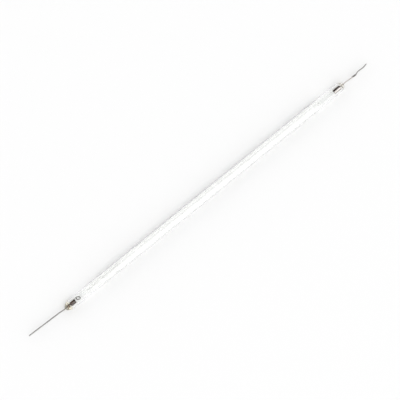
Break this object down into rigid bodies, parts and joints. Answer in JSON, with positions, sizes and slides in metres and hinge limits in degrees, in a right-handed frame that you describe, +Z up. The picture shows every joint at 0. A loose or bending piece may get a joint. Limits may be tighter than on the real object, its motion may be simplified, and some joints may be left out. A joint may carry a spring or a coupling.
{
  "type": "cold-cathode fluorescent lamp tube",
  "caption": "Slim straight phosphor-lined glass lamp tube with clear sealed ends, a metal electrode inside each and a bare lead wire from each end.",
  "frame": {"origin": "on the axis of the glass tube, half-way along the glass", "axes": "+X along the glass tube from the getter end to the end with the spliced lead, +Z up, away from the surface the lamp lies on"},
  "size_m": [0.1817, 0.0042, 0.004],
  "materials": {
    "clear_glass": "clear polished borosilicate glass",
    "phosphor": "matte white powder lining",
    "amber_glass": "faintly amber sealing glass",
    "dark_nickel": "heat-darkened, brown-oxidised nickel",
    "bare_lead": "dull drawn nickel-iron wire",
    "copper_clad_pin": "faintly warm, oxidised copper-clad wire",
    "weld_metal": "dark rough weld metal",
    "getter_metal": "thin nickel-plated strip",
    "getter_fill": "dark pressed powder",
    "mercury": "liquid metal"
  },
  "bodies": {
    "root": {"glass_tube": "clear_glass", "phosphor_coating": "phosphor", "mercury_droplet": "mercury", "left_seal_bead": "amber_glass", "left_weld_collar": "dark_nickel", "left_electrode_cup": "dark_nickel", "left_cup_weld": "weld_metal", "left_lead_wire": "bare_lead", "getter_strip": "getter_metal", "getter_ring": "getter_metal", "getter_powder": "getter_fill", "right_seal_bead": "amber_glass", "right_electrode_cup": "dark_nickel", "right_cup_weld": "weld_metal", "right_lead_in_pin": "copper_clad_pin", "right_splice_weld": "weld_metal", "right_lead_wire": "bare_lead"}
  },
  "joints": []
}
